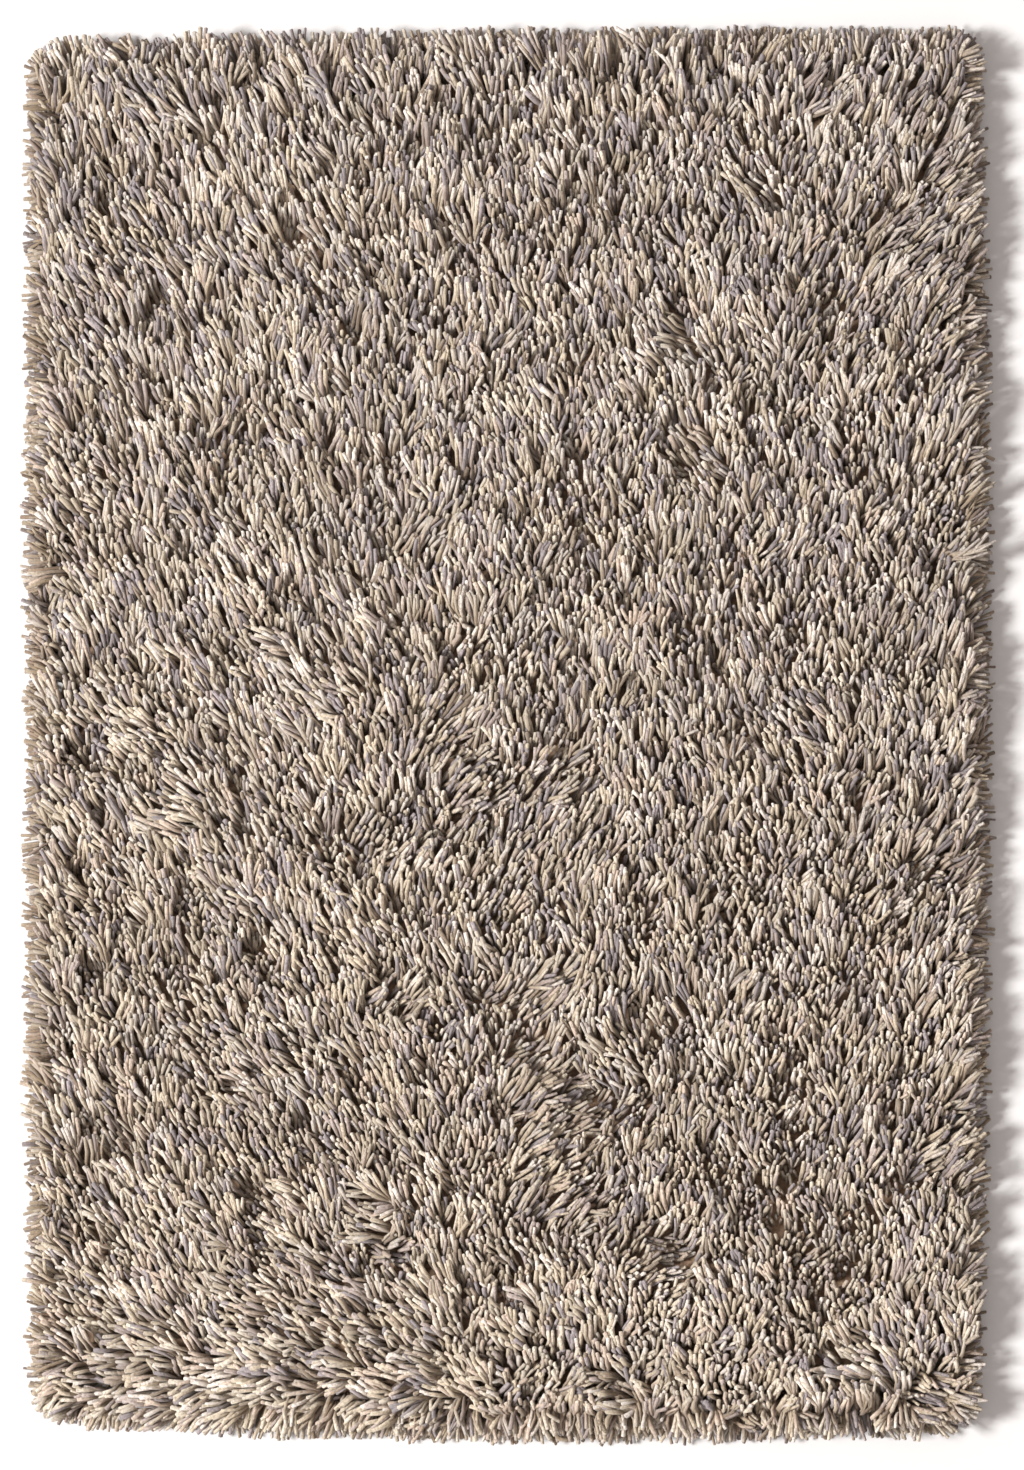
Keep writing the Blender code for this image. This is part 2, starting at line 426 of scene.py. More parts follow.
class Graph:
    """The nodes of one material, each made by one call."""

    def __init__(self, name):
        self.material = bpy.data.materials.new(name)
        self.material.use_nodes = True
        self.tree = self.material.node_tree
        self.shader = self.tree.nodes["Principled BSDF"]

    def wire(self, kind, settings=None, inputs=None, output=0):
        """Add a node, first its settings and then its values and links, and return an output."""
        node = self.tree.nodes.new(kind)
        for key, value in (settings or {}).items():
            setattr(node, key, value)
        for key, value in (inputs or {}).items():
            self.feed(node.inputs[key], value)
        return Wire(self, node.outputs[output])

    def feed(self, socket, value):
        """Link a Wire into a socket, or set the socket's own value."""
        if isinstance(value, Wire):
            self.tree.links.new(value.socket, socket)
        else:
            socket.default_value = value

    def set(self, **sockets):
        """Feed the surface shader's sockets, named with underscores for spaces."""
        for name, value in sockets.items():
            self.feed(self.shader.inputs[name.replace("_", " ")], value)

    def mix(self, factor, first, second):
        """Mix two colours."""
        inputs = {"Factor": factor, 6: first, 7: second}
        return self.wire("ShaderNodeMix", {"data_type": "RGBA"}, inputs, output=2)

    def ease(self, value, low, high):
        """Run from 0 to 1 with level ends while a value goes from low to high."""
        settings = {"interpolation_type": "SMOOTHSTEP"}
        inputs = {"Value": value, "From Min": low, "From Max": high}
        return self.wire("ShaderNodeMapRange", settings, inputs)

    def place(self):
        """Place of a point on its object."""
        return self.wire("ShaderNodeTexCoord", output="Object")

    def noise(self, scale, detail=2.0, roughness=0.5):
        """Uneven pattern over the object, with bumps of 1 / scale metres."""
        inputs = {
            "Vector": self.place(), "Scale": scale, "Detail": detail, "Roughness": roughness
        }
        return self.wire("ShaderNodeTexNoise", None, inputs)

    def threads(self, direction):
        """Threads that run one way, slightly wavy, as in a coarse weave."""
        inputs = {"Vector": self.place(), "Scale": 62.0, "Distortion": 0.6, "Detail": 1.0}
        return self.wire("ShaderNodeTexWave", {"bands_direction": direction}, inputs, output="Fac")

    def yarn_value(self, name):
        """One of the values that every yarn carries on its points."""
        return self.wire("ShaderNodeAttribute", {"attribute_name": name}, output="Fac")

    def bump(self, height, distance, strength=1.0):
        """Turn a height pattern into small relief."""
        inputs = {"Height": height, "Distance": distance, "Strength": strength}
        return self.wire("ShaderNodeBump", None, inputs)


def opaque(colour):
    """A colour with full alpha."""
    return (*colour, 1.0)


def shaded(colour, factor):
    """A colour made lighter or darker in Python."""
    return tuple(min(1.0, part * factor) for part in colour)


def painted_deep_shade(colour, factor):
    """A colour made darker and browner, as painted shade on wool deep in a pile."""
    return tuple(part * factor * tint for part, tint in zip(colour, DEEP_SHADE_TINT))


def felted_wool(name, colour):
    """Matt felted wool yarn: heathered fibres, a tone that carries both uneven dye and painted
    light and shade, and painted shade that darkens and browns its foot.
    """
    graph = Graph(name)
    shade = {key: opaque(shaded(colour, share)) for key, share in WOOL_SHADES.items()}
    heather = graph.noise(240.0, detail=3.0, roughness=0.6)
    fibres = graph.noise(1500.0, detail=2.0, roughness=0.7)
    # Tone from dull to bright: random dye, with painted light and shade carried in yarn_tone.
    dye_and_painted_light = graph.mix(graph.yarn_value("yarn_tone"), shade["dull"], shade["bright"])
    flecked = graph.mix(graph.ease(heather, 0.42, 0.66) * 0.8, dye_and_painted_light, shade["fleck"])
    fuzzed = graph.mix(graph.ease(fibres, 0.48, 0.72) * 0.5, flecked, shade["fuzz"])
    # Painted shade: darker and browner towards the foot, more so where the share of painted light
    # is low.
    foot = 1.0 - graph.ease(graph.yarn_value("yarn_run"), 0.45, 1.0)
    with_painted_foot_shade = graph.mix(foot * 0.85, fuzzed, opaque(painted_deep_shade(colour, WOOL_SHADES["foot"])))
    relief = heather * 0.7 + fibres * 0.3
    graph.set(
        Base_Color=with_painted_foot_shade,
        Roughness=0.86 + fibres * 0.12,
        Normal=graph.bump(relief, distance=0.0050),
        Sheen_Weight=0.30,
        Sheen_Roughness=0.55,
        Specular_IOR_Level=0.25,
    )
    return graph.material


def woven_canvas(colour):
    """Coarse plain weave of the backing, in raw wool and cotton."""
    graph = Graph("backing_canvas")
    weave = graph.threads("X") * graph.threads("Y")
    slub = graph.noise(180.0, detail=3.0)
    threads = graph.mix(graph.ease(weave, 0.1, 0.8), opaque(shaded(colour, 0.55)), opaque(colour))
    stained = graph.mix(slub * 0.4, threads, opaque(shaded(colour, 0.78)))
    graph.set(
        Base_Color=stained,
        Roughness=0.84 + slub * 0.12,
        Normal=graph.bump(weave, distance=0.0010, strength=0.8),
        Specular_IOR_Level=0.2,
    )
    return graph.material


def packed_roots(colour):
    """Wool where the yarns crowd together at their knots, its dark brown painted shade between the
    yarns.
    """
    graph = Graph("packed_roots")
    crowd = graph.noise(150.0, detail=4.0, roughness=0.6)
    fibres = graph.noise(900.0, detail=2.0)
    mottled = graph.mix(graph.ease(crowd, 0.35, 0.70), opaque(colour), opaque(shaded(colour, 1.8)))
    graph.set(
        Base_Color=mottled,
        Roughness=0.90 + fibres * 0.08,
        Normal=graph.bump(crowd * 0.7 + fibres * 0.3, distance=0.003),
        Sheen_Weight=0.1,
        Specular_IOR_Level=0.15,
    )
    return graph.material


def studio_paper(colour):
    """Pale matt paper of the floor."""
    graph = Graph("studio_paper")
    grain = graph.noise(30.0, detail=2.0)
    graph.set(
        Base_Color=graph.mix(grain * 0.05, opaque(colour), opaque(shaded(colour, 0.97))),
        Roughness=0.9,
        Specular_IOR_Level=0.1,
    )
    return graph.material


# ---------------------------------------------------------------- yarns


# One yarn: sides round it, steps of its centre line, and the steps that get a ring.
SIDES = 4
FINE_STEPS = 20
RING_STEPS = (8, 14)
# Its last ring: how far back from the tip and how thick, as shares of its half thickness,
# and the ring's place along the yarn.
SHOULDER = {"back": 0.40, "girth": 0.95, "run": 0.97}
# Uneven size and place of its rings, as shares of its half thickness.
RING_STRAY = {"girth": 0.14, "place": 0.30}
# Its patch of the map: heights of its rings, and the margins round the patch.
MAP_HEIGHTS = (0.36, 0.68, 0.95)
MAP_MARGIN = (0.10, 0.03)

# Rim: width of the band where the pile droops, and how far in from the outline, across and
# along, the outermost yarns show.
RIM_BAND = 0.050
RIM_INSET = (0.020, 0.012)
# Share of the way that the rim's pile turns straight out over each edge, and how fast.
SIDE_PULL = {"left": 0.94, "right": 0.66, "near": 0.55, "rise": 1.5}
# Share of a yarn's length at which it shows: in the field, and at the rim.
SHOWN_SHARE = (0.72, 0.92)
# How much thinner the rim's yarns are, and how far past the outline their tips may reach.
RIM_THIN = 0.14
TIP_REACH = (0.005, 0.012)
# Least distance of a yarn's foot from the outline.
FOOT_INSET = 0.032
# Share of the half size from which a yarn belongs to a side.
SIDE_FROM = 0.90
# Painted shade at the rim: darkening of the tone on the lit left side, and of the light share (the
# run, which darkens the foot) on most sides, on the left and at the far end, with its unevenness.
RIM_SHADE = {"left": 0.80, "run": 0.14, "left_run": 0.60, "far_run": 0.34, "stray": 0.40}

# Rows of yarns under the rim, darkened as painted shade: how far in they lie, their pitch and
# uneven place, share of the way straight out, tilt at foot and tip, length and painted shade.
UNDER_ROWS = (0.005, 0.013, 0.022)
UNDER_PITCH = 0.0060
UNDER_STRAY = 0.020
UNDER_PULL = 0.42
UNDER_TILT = (60.0, 104.0)
UNDER_LENGTH = 0.84
UNDER_SHADE = {"tone": 0.5, "run": 0.42, "stray": 0.16}

# Uneven places of yarns and bundles, as a share of their pitch.
ROW_STAGGER = 0.25
PLACE_JITTER = 0.22
RING_JITTER = 0.4
# Steps of the order in which yarns are thinned out, across and along.
ORDER_STEPS = (0.7549, 0.5698)
# Fade of a brushed patch, in shares of its reach.
PATCH_FADE = {"from": 0.5, "over": 0.9}
# Unruliness where the pile is combed no one way, and share of the lean left there.
MESS_GAIN = 2.5
LEAST_LEAN = 0.4
# Unevenness from tuft to tuft, from bundle to bundle and from yarn to yarn: angles in
# degrees, sizes in metres and the rest in shares.
# A tuft's tone partly follows its swell, as painted light and shade: taller tufts lighter, lower
# ones darker; the rest is random tone.
TUFT_STRAY = {
    "size": 0.060, "swell_size": 0.8, "swell_as_painted_light": 0.6, "drift": 0.004,
    "turn": 16.0, "lean": 0.20, "length": 0.30, "tone": 0.44,
}
BUNDLE_STRAY = {
    "turn": 10.0, "lean": 0.17, "length": 0.15, "tone": 0.62,
    "bend": 20.0, "fan": 14.0, "fan_middle": 0.3,
}
YARN_STRAY = {
    "turn": 7.0, "root": 4.0, "tip": 7.0, "length": 0.04, "tone": 0.13,
    "bend": 20.0, "girth": 0.12,
}
# More unruliness for upright yarns, in degrees.
UPRIGHT_TURN = 8.0
# Thinning out of laid yarns: the lean it starts from, and its strength.
THIN_FROM = 0.25
THIN_GIVE = 0.10
# How far yarns draw in to their bundle's middle, and the share of that for upright yarns.
CLUMP = 0.27
CLUMP_UPRIGHT = 0.4
# Tilts from upright, in degrees, of an upright and a laid yarn; of a rim yarn, at foot and tip.
TILT_AT_ROOT = (4.0, 30.0)
TILT_AT_TIP = (38.0, 82.0)
RIM_TILT = (42.0, 112.0)
# Share of a yarn's length where its bend leaves its heading as it is.
BEND_MIDDLE = 0.6
# Pressed-down crown of the pile: the height it starts from, and what is left above that.
PILE_CROWN = {"from": 0.044, "give": 0.30}
# Least height of a yarn's centre line above the floor, in its half thicknesses.
LEAST_HEIGHT = 1.45
# Painted light and shade in the tone: slopes across and along the rug, darker towards the lit left
# and the far end, and its rise towards the near edge.
PAINTED_LIGHT_SLOPE = {"across": 0.07, "along": 0.06, "near": 0.27}


def spread_places(half_size, pitch, chance):
    """Staggered rows of places over the rug, each a little off its own spot, and their order."""
    row_pitch = pitch * math.sqrt(0.75)
    count = np.round(2.0 * half_size / (pitch, row_pitch)).astype(int) + 1
    across, along = np.meshgrid(
        np.linspace(-1.0, 1.0, count[0]), np.linspace(-1.0, 1.0, count[1]), indexing="ij"
    )
    step = 2.0 / (count - 1)
    stagger = np.where(np.arange(count[1]) % 2, ROW_STAGGER, -ROW_STAGGER)
    across = across + stagger[None, :] * step[0]
    across = across + chance.uniform(-PLACE_JITTER, PLACE_JITTER, across.shape) * step[0]
    along = along + chance.uniform(-PLACE_JITTER, PLACE_JITTER, along.shape) * step[1]
    rows, columns = np.indices(across.shape)
    order = (rows * ORDER_STEPS[0] + columns * ORDER_STEPS[1]) % 1.0
    return outline_place(across.ravel(), along.ravel(), half_size), order.ravel()


def ring_places(half_size, pitch, chance):
    """Places round the outline, about a pitch apart, each a little way in from it."""
    sides = []
    for axis in (0, 1):
        count = round(2.0 * half_size[1 - axis] / pitch)
        jitter = chance.uniform(-RING_JITTER, RING_JITTER, count)
        run = (np.arange(count) + 0.5 + jitter) / count * 2.0 - 1.0
        for side in (-1.0, 1.0):
            spot = np.stack([run, run], axis=-1)
            spot[:, axis] = side * (1.0 - chance.uniform(0.0, UNDER_STRAY, count))
            sides.append(spot)
    return outline_place(*np.concatenate(sides).T, half_size)


def nearest(places, middles):
    """Number of the nearest middle to every place."""
    tree = KDTree(len(middles))
    for number, (x, y) in enumerate(middles):
        tree.insert((x, y, 0.0), number)
    tree.balance()
    return np.array([tree.find((x, y, 0.0))[1] for x, y in places])


def edge_reach(places):
    """How far places lie in the rim's band, across and along, from 0 to 1 at the outline."""
    return np.clip(1.0 - (half_rug() - np.abs(places)) / RIM_BAND, 0.0, 1.0)


def comb_bundles(middles, chance):
    """Heading, lean, rim share, swell and tone of every bundle of yarns."""
    spot = middles / half_rug()
    comb = read_chart(COMB_CHART, *spot.T, as_ways=True)
    lean = read_chart(LEAN_CHART, *spot.T)[:, 0]
    reach = edge_reach(middles)
    rim = smooth_step(np.hypot(*reach.T))
    for across, along, patch_reach, heading, patch_lean in BRUSHED_PATCHES:
        off = np.hypot(middles[:, 0] - across, middles[:, 1] - along) / patch_reach
        share = 1.0 - smooth_step((off - PATCH_FADE["from"]) / PATCH_FADE["over"])
        share *= 1.0 - rim
        comb += (ways(heading) - comb) * share[:, None]
        lean += (patch_lean - lean) * share
    side = np.where(middles[:, 0] < 0.0, SIDE_PULL["left"], SIDE_PULL["right"])
    pull = side * smooth_step(reach[:, 0] * SIDE_PULL["rise"])
    comb *= (1.0 - pull)[:, None]
    comb[:, 0] += pull * np.sign(middles[:, 0])
    drop = SIDE_PULL["near"] * smooth_step(reach[:, 1] * SIDE_PULL["rise"]) * (middles[:, 1] < 0.0)
    comb *= (1.0 - drop)[:, None]
    comb[:, 1] -= drop
    order = np.clip(np.linalg.norm(comb, axis=1), 0.0, 1.0)

    size, swell_as_painted_light = TUFT_STRAY["size"], TUFT_STRAY["swell_as_painted_light"]
    swell = lattice_noise(middles, size * TUFT_STRAY["swell_size"], FIELD_SEEDS["swell"])
    own_tone = lattice_noise(middles, size, FIELD_SEEDS["tone"])
    # Painted light and shade: part of a tuft's tone follows its swell, so taller tufts come out
    # lighter.
    tone = swell_as_painted_light * swell + (1.0 - swell_as_painted_light) * own_tone
    mess = 1.0 + MESS_GAIN * (1.0 - order)
    turn = headings(comb)
    turn += mess * TUFT_STRAY["turn"] * lattice_noise(middles, size, FIELD_SEEDS["turn"])
    lean += TUFT_STRAY["lean"] * lattice_noise(middles, size, FIELD_SEEDS["lean"])
    turn += mess * chance.normal(0.0, BUNDLE_STRAY["turn"], len(turn))
    lean += chance.normal(0.0, BUNDLE_STRAY["lean"], len(lean))
    lean = np.clip(lean, 0.0, 1.0) * between((LEAST_LEAN, 1.0), order)
    return {
        "middle": middles, "turn": turn, "lean": lean, "rim": rim, "swell": swell, "tone": tone
    }


def place_yarns(sizes, chance):
    """The bundles, and every yarn's bundle, the place where it shows and its rim share."""
    half_size = half_rug() - np.array(RIM_INSET)
    middles, _ = spread_places(half_size, sizes.bundle_pitch, chance)
    bundles = comb_bundles(middles, chance)
    shown, order = spread_places(half_size, sizes.yarn_pitch, chance)
    bundle = nearest(shown, middles)
    laid = np.clip((bundles["lean"] - THIN_FROM) * (1.0 - bundles["rim"]), 0.0, 1.0)[bundle]
    kept = order < 1.0 - THIN_GIVE * laid
    shown, bundle = shown[kept], bundle[kept]

    under = [ring_places(half_rug() - inset, UNDER_PITCH, chance) for inset in UNDER_ROWS]
    under = np.concatenate(under)
    below = np.arange(len(shown) + len(under)) >= len(shown)
    shown = np.concatenate([shown, under])
    bundle = np.concatenate([bundle, nearest(under, middles)])
    yarns = {
        "bundle": bundle,
        "below": below,
        "rim": np.where(below, 1.0, bundles["rim"][bundle]),
        "lean": bundles["lean"][bundle],
        "gather": read_chart(GATHER_CHART, *(shown / half_rug()).T)[:, 0],
        "shown": shown,
    }
    return bundles, yarns


def gather_yarns(bundles, yarns):
    """Draw the yarns in to their bundles' middles, and shift every tuft off its spot."""
    shown, field = yarns["shown"], 1.0 - yarns["rim"]
    clump = CLUMP * yarns["gather"] * field * between((CLUMP_UPRIGHT, 1.0), yarns["lean"])
    shown += (bundles["middle"][yarns["bundle"]] - shown) * clump[:, None]
    drift = [lattice_noise(shown, TUFT_STRAY["size"], seed) for seed in FIELD_SEEDS["drift"]]
    shown += np.stack(drift, axis=-1) * (TUFT_STRAY["drift"] * field)[:, None]


def stray(key, bundles, yarns, chance):
    """Unevenness of every yarn, with its bundle's on top where bundles have their own."""
    each = chance.normal(0.0, YARN_STRAY[key], len(yarns["bundle"]))
    if key in BUNDLE_STRAY:
        each += chance.normal(0.0, BUNDLE_STRAY[key], len(bundles["turn"]))[yarns["bundle"]]
    return each


def aim_yarns(bundles, yarns, sizes, chance):
    """Heading of every yarn, and its tilt from upright at its foot and at its tip."""
    bundle, shown, below = yarns["bundle"], yarns["shown"], yarns["below"]
    rim, lean = yarns["rim"], yarns["lean"]
    unruly = YARN_STRAY["turn"] + UPRIGHT_TURN * (1.0 - lean) * (1.0 - rim)
    turn = bundles["turn"][bundle] + chance.normal(0.0, 1.0, len(shown)) * unruly
    outward = edge_reach(shown) * np.sign(shown)
    outward /= np.maximum(np.linalg.norm(outward, axis=1), 1e-9)[:, None]
    outward = ways(turn) * (1.0 - UNDER_PULL) + outward * UNDER_PULL
    turn = np.where(below, headings(outward), turn)
    off_middle = shown - bundles["middle"][bundle]
    beside = np.sum(off_middle * ways(bundles["turn"][bundle] + 90.0), axis=-1)
    fan = chance.normal(BUNDLE_STRAY["fan_middle"], 1.0, len(bundles["turn"]))[bundle]
    turn += fan * BUNDLE_STRAY["fan"] * beside / (0.5 * sizes.bundle_pitch)

    rim_root, rim_tip = (np.where(below, *pair) for pair in zip(UNDER_TILT, RIM_TILT))
    tilt_root = between(TILT_AT_ROOT, lean) * (1 - rim) + rim_root * rim
    tilt_root += stray("root", bundles, yarns, chance)
    tilt_tip = between(TILT_AT_TIP, lean) * (1 - rim) + rim_tip * rim
    tilt_tip += stray("tip", bundles, yarns, chance)
    return turn, (tilt_root, tilt_tip)


def shade_yarns(bundles, yarns, chance):
    """Tone of every yarn, random but with painted light and shade added, and its share of painted
    light; the lower that share, the darker its painted foot shade.
    """
    rim, below = yarns["rim"], yarns["below"]
    across, along = (yarns["shown"] / half_rug()).T
    left, far, near = across < -SIDE_FROM, along > SIDE_FROM, along <= -SIDE_FROM
    tuft_tone = TUFT_STRAY["tone"] * bundles["tone"][yarns["bundle"]]
    tone = 0.5 + yarns["gather"] * (tuft_tone + stray("tone", bundles, yarns, chance))
    # Painted shade: rim yarns on the lit left side and the yarns under the rim get a darker tone.
    rim_tone = np.where(left, RIM_SHADE["left"], 0.0) * rim
    tone -= np.where(below, UNDER_SHADE["tone"], rim_tone)
    # Painted light and shade: darker towards the lit left and the far end, lighter towards the
    # near edge.
    tone += PAINTED_LIGHT_SLOPE["across"] * across - PAINTED_LIGHT_SLOPE["along"] * along
    tone += PAINTED_LIGHT_SLOPE["near"] * np.clip(-along, 0.0, 1.0) ** 2

    # Painted shade at the rim and under it: a smaller share of painted light, so a darker foot.
    rim_run = np.where(far, RIM_SHADE["far_run"], RIM_SHADE["run"])
    rim_run = np.where(left, RIM_SHADE["left_run"], rim_run) * rim
    rim_stray = RIM_SHADE["stray"] * rim * ~near
    light = 1.0 - np.where(below, UNDER_SHADE["run"], rim_run)
    uneven = chance.uniform(-1.0, 1.0, len(light))
    light -= uneven * np.where(below, UNDER_SHADE["stray"], rim_stray)
    return np.clip(tone, 0.0, 1.0), light


def trace_yarns(yarns, turn, tilts, bend, length, sizes):
    """Centre line of every yarn and its direction, through the place where the yarn shows."""
    total = len(length)
    share = np.linspace(0.0, 1.0, FINE_STEPS + 1)[None, :]
    tilt = np.radians(tilts[0][:, None] + (tilts[1] - tilts[0])[:, None] * share)
    heading = np.radians(turn[:, None] + bend[:, None] * (share - BEND_MIDDLE))
    ahead = np.stack(
        [np.sin(tilt) * np.cos(heading), np.sin(tilt) * np.sin(heading), np.cos(tilt)], axis=-1
    )
    steps = (ahead[:, 1:] + ahead[:, :-1]) / 2.0 * (length / FINE_STEPS)[:, None, None]
    course = np.concatenate([np.zeros((total, 1, 3)), np.cumsum(steps, axis=1)], axis=1)
    crown = np.maximum(course[..., 2] - PILE_CROWN["from"], 0.0)
    course[..., 2] += sizes.backing_thickness - crown * (1.0 - PILE_CROWN["give"])
    least = yarns["girth"] * LEAST_HEIGHT
    course[:, 1:, 2] = np.maximum(course[:, 1:, 2], least[:, None])

    shown_step = np.round(between(SHOWN_SHARE, yarns["rim"]) * FINE_STEPS).astype(int)
    foot = yarns["shown"] - course[np.arange(total), shown_step, :2]
    tip = foot + course[:, -1, :2]
    foot -= np.sign(tip) * np.maximum(np.abs(tip) - half_rug() - np.array(TIP_REACH), 0.0)
    foot = np.clip(foot, FOOT_INSET - half_rug(), half_rug() - FOOT_INSET)
    course[..., :2] += foot[:, None, :]
    ahead = np.gradient(course, axis=1)
    ahead /= np.linalg.norm(ahead, axis=2, keepdims=True)
    return course, ahead


def lay_yarns(sizes, chance):
    """The bundles, and every yarn's centre line, half thickness, tone and share of painted light.
    """
    bundles, yarns = place_yarns(sizes, chance)
    gather_yarns(bundles, yarns)
    turn, tilts = aim_yarns(bundles, yarns, sizes, chance)
    rim, spot = yarns["rim"], yarns["shown"] / half_rug()
    swell = TUFT_STRAY["length"] * bundles["swell"][yarns["bundle"]] * (1.0 - rim)
    length = sizes.yarn_length * (1.0 + stray("length", bundles, yarns, chance) + swell)
    length = length * np.where(yarns["below"], UNDER_LENGTH, 1.0)
    yarns["tone"], yarns["light"] = shade_yarns(bundles, yarns, chance)
    bend = stray("bend", bundles, yarns, chance) * read_chart(CURL_CHART, *spot.T)[:, 0]
    girth = sizes.yarn_thickness / 2.0 * read_chart(GIRTH_CHART, *spot.T)[:, 0]
    girth = girth * (1.0 + stray("girth", bundles, yarns, chance)) * (1.0 - RIM_THIN * rim)
    yarns["girth"] = girth
    yarns["course"], yarns["ahead"] = trace_yarns(yarns, turn, tilts, bend, length, sizes)
    return bundles, yarns


def yarn_rings(yarns, chance):
    """Points of every yarn: its foot, the rings round it and its tip, yarns x points x 3."""
    course, ahead, girth = yarns["course"], yarns["ahead"], yarns["girth"]
    tip, last = course[:, -1], ahead[:, -1]
    centres = [course[:, step] for step in RING_STEPS]
    aims = [ahead[:, step] for step in RING_STEPS] + [last]
    centres.append(tip - last * (girth * SHOULDER["back"])[:, None])
    girths = [girth] * len(RING_STEPS) + [girth * SHOULDER["girth"]]
    angle = 2.0 * math.pi * np.arange(SIDES) / SIDES
    points = [course[:, :1]]
    for centre, aim, radius in zip(centres, aims, girths):
        side = np.cross(aim, np.array([0.0, 0.0, 1.0]))
        side /= np.maximum(np.linalg.norm(side, axis=1), 1e-9)[:, None]
        over = np.cross(aim, side)
        swell = radius * (1.0 + chance.normal(0.0, RING_STRAY["girth"], len(radius)))
        shift = side * (chance.normal(0.0, RING_STRAY["place"], len(radius)) * radius)[:, None]
        around = side[:, None] * np.cos(angle)[:, None] + over[:, None] * np.sin(angle)[:, None]
        points.append((centre + shift)[:, None] + around * swell[:, None, None])
    return np.concatenate([*points, tip[:, None]], axis=1)


def yarn_pattern(rings):
    """Corners, face sizes and map places of one yarn: tapered foot, tube and rounded tip."""
    corners, counts, places, heights = [], [], [], MAP_HEIGHTS
    foot, tip = 0, 1 + rings * SIDES
    for side in range(SIDES):
        after = (side + 1) % SIDES
        corners += [foot, 1 + after, 1 + side]
        places += [(side + 0.5, 0.0), (side + 1, heights[0]), (side, heights[0])]
        counts.append(3)
        for ring in range(rings - 1):
            low, high = 1 + ring * SIDES, 1 + (ring + 1) * SIDES
            corners += [low + side, low + after, high + after, high + side]
            places += [(side, heights[ring]), (side + 1, heights[ring])]
            places += [(side + 1, heights[ring + 1]), (side, heights[ring + 1])]
            counts.append(4)
        last = 1 + (rings - 1) * SIDES
        corners += [last + side, last + after, tip]
        places += [(side, heights[-1]), (side + 1, heights[-1]), (side + 0.5, 1.0)]
        counts.append(3)
    return np.array(corners), np.array(counts), np.array(places) / np.array([SIDES, 1.0])


def join_yarns(name, points, tone, light, sizes):
    """One mesh of many yarns, each with its own patch of the map, tone and share of painted light.
    """
    total, per_yarn = points.shape[:2]
    rings = (per_yarn - 2) // SIDES
    corners, counts, places = yarn_pattern(rings)
    mesh = bpy.data.meshes.new(name)
    mesh.vertices.add(total * per_yarn)
    mesh.vertices.foreach_set("co", points.astype(np.float32).ravel())
    all_corners = corners[None, :] + (np.arange(total) * per_yarn)[:, None]
    mesh.loops.add(all_corners.size)
    mesh.loops.foreach_set("vertex_index", all_corners.astype(np.int32).ravel())
    all_counts = np.tile(counts, total)
    mesh.polygons.add(len(all_counts))
    starts = np.concatenate([[0], np.cumsum(all_counts)[:-1]])
    mesh.polygons.foreach_set("loop_start", starts.astype(np.int32))
    mesh.polygons.foreach_set("use_smooth", np.ones(len(all_counts), bool))
    mesh.update(calc_edges=True)
    mesh.validate()

    patch_shape = sizes.yarn_length / (math.pi * sizes.yarn_thickness)
    columns = math.ceil(math.sqrt(total * patch_shape))
    rows = math.ceil(total / columns)
    origin = np.stack([np.arange(total) % columns, np.arange(total) // columns], axis=-1)
    margin = np.array(MAP_MARGIN)
    patch = margin + places * (1.0 - 2.0 * margin)
    on_map = (origin[:, None] + patch[None]) / np.array([columns, rows])
    mesh.uv_layers.new(name="OFBake").uv.foreach_set("vector", on_map.astype(np.float32).ravel())

    # The run along each yarn, scaled by its share of painted light, sets how dark its painted foot
    # shade is.
    run = [step / FINE_STEPS for step in RING_STEPS] + [SHOULDER["run"]]
    along = np.concatenate([[0.0], np.repeat(run, SIDES), [1.0]])
    runs = (light[:, None] * along[None, :]).ravel()
    for key, values in (("yarn_tone", np.repeat(tone, per_yarn)), ("yarn_run", runs)):
        attribute = mesh.attributes.new(key, "FLOAT", "POINT")
        attribute.data.foreach_set("value", values.astype(np.float32))
    return mesh


def deal_tones(bundles, yarns, chance):
    """Number of every yarn's colour: often its bundle's own, and warmer at the near left."""
    bundle = yarns["bundle"]
    shares = np.array([tone["share"] for tone in YARN_TONES.values()])
    warmth = np.array([tone["warmth"] for tone in YARN_TONES.values()])
    across, along = (bundles["middle"] / half_rug()).T
    warmer = WARMER["across"] * across + WARMER["along"] * along
    warmer = np.clip(warmer, -WARMER["limit"], WARMER["limit"])
    follow = 1.0 + WARMER["gain"] * warmer[:, None] * warmth[None, :]
    odds = shares[None, :] * np.clip(follow, WARMER["least"], None)
    ladder = np.cumsum(odds / odds.sum(axis=1, keepdims=True), axis=1)
    common = (chance.random(len(ladder))[:, None] > ladder).sum(axis=1)
    own = (chance.random(len(bundle))[:, None] > ladder[bundle]).sum(axis=1)
    alike = chance.random(len(bundle)) < BUNDLE_COLOUR_SHARE
    return np.clip(np.where(alike, common[bundle], own), 0, len(shares) - 1)


# ---------------------------------------------------------------- pieces


def finish_piece(piece, material):
    """Put a piece on the rug's body in place of the slab, with its material."""
    piece.data.materials.clear()
    piece.data.materials.append(material)
    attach(piece, BODY)
    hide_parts(SLAB_NODE)


def add_grid(name, cells):
    """Add a flat grid two units wide at the origin, alone in the selection."""
    bpy.ops.object.select_all(action="DESELECT")
    bpy.ops.mesh.primitive_grid_add(x_subdivisions=cells[0], y_subdivisions=cells[1], size=2.0)
    piece = bpy.context.object
    piece.name = piece.data.name = name
    return piece


def mesh_points(piece):
    """A mesh's points as an array."""
    points = np.empty(len(piece.data.vertices) * 3)
    piece.data.vertices.foreach_get("co", points)
    return points.reshape(-1, 3)


def move_points(piece, points):
    """Give a mesh's points new places."""
    piece.data.vertices.foreach_set("co", points.ravel())
    piece.data.update()


